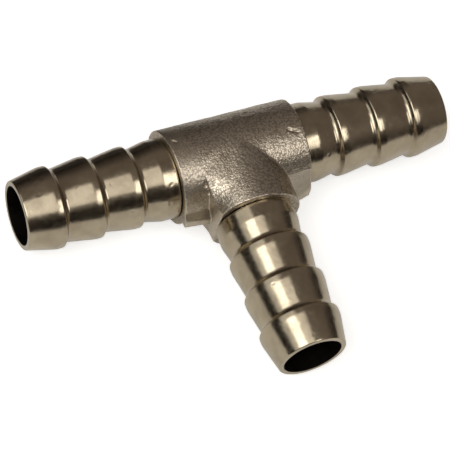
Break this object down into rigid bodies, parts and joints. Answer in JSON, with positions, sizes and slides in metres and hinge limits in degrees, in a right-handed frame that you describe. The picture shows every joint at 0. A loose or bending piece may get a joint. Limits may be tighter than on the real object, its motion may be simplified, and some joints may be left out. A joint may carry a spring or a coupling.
{
  "type": "barbed tee connector",
  "caption": "Metal barbed tee that joins soft hoses at a right-angle branch: a rough forged body holding turned hose-barb stems.",
  "frame": {"origin": "where the axes of the run and the branch cross, inside the body", "axes": "+X along the run towards the right stem, -Y along the branch away from the run, +Z square to the plane of the tee"},
  "size_m": [0.0762, 0.0462, 0.0162],
  "materials": {
    "forged_body": "grit-blasted forging, matt and granular",
    "turned_stem": "bright turned metal with fine tool rings",
    "braze_filler": "satin, as solidified"
  },
  "bodies": {
    "root": {"tee_body": "forged_body", "left_barbed_stem": "turned_stem", "right_barbed_stem": "turned_stem", "branch_barbed_stem": "turned_stem", "left_brazing_ring": "braze_filler", "right_brazing_ring": "braze_filler", "branch_brazing_ring": "braze_filler"}
  },
  "joints": []
}
